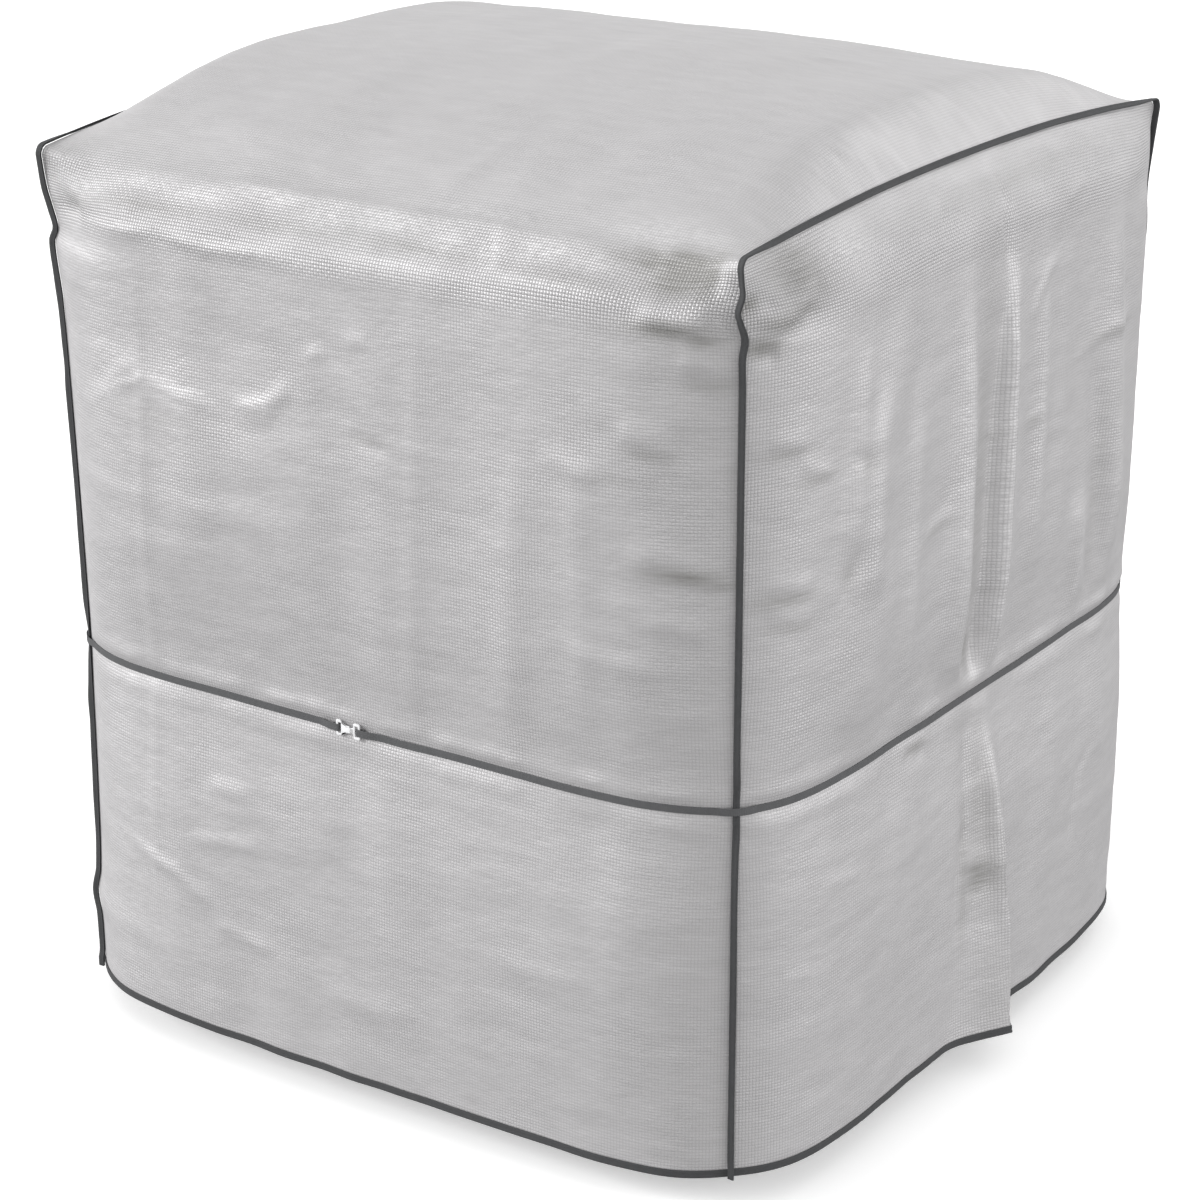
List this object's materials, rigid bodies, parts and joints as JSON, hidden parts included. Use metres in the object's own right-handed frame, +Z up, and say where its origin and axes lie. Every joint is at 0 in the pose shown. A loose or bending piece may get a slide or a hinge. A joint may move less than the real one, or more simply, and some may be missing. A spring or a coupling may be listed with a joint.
{
  "type": "air conditioner cover",
  "caption": "Fitted woven-sheet cover for a square outdoor air conditioner, open below, with arched side panels, bound seams and hems, and a waist strap with a clasp.",
  "frame": {"origin": "middle of the underside of the top, where the cover rests on the unit it covers", "axes": "+Z up, -Y out of the front wall that carries the clasp, +X out of the side panel on the right as seen from the front"},
  "size_m": [0.9428, 0.9014, 0.9769],
  "materials": {
    "cover_sheet": "silver-grey coated woven sheet with a soft sheen",
    "binding_tape": "dark grey woven tape, folded and stitched",
    "webbing": "dark grey flat webbing",
    "clasp_plastic": "milky white moulded plastic, glossy"
  },
  "bodies": {
    "root": {"front_top_back_panel": "cover_sheet", "left_panel": "cover_sheet", "right_panel": "cover_sheet", "left_seam_binding": "binding_tape", "right_seam_binding": "binding_tape", "front_hem_binding": "binding_tape", "back_hem_binding": "binding_tape", "left_hem_binding": "binding_tape", "right_hem_binding": "binding_tape", "waist_strap": "webbing", "clasp_ring": "clasp_plastic", "clasp_hook": "clasp_plastic"}
  },
  "joints": []
}
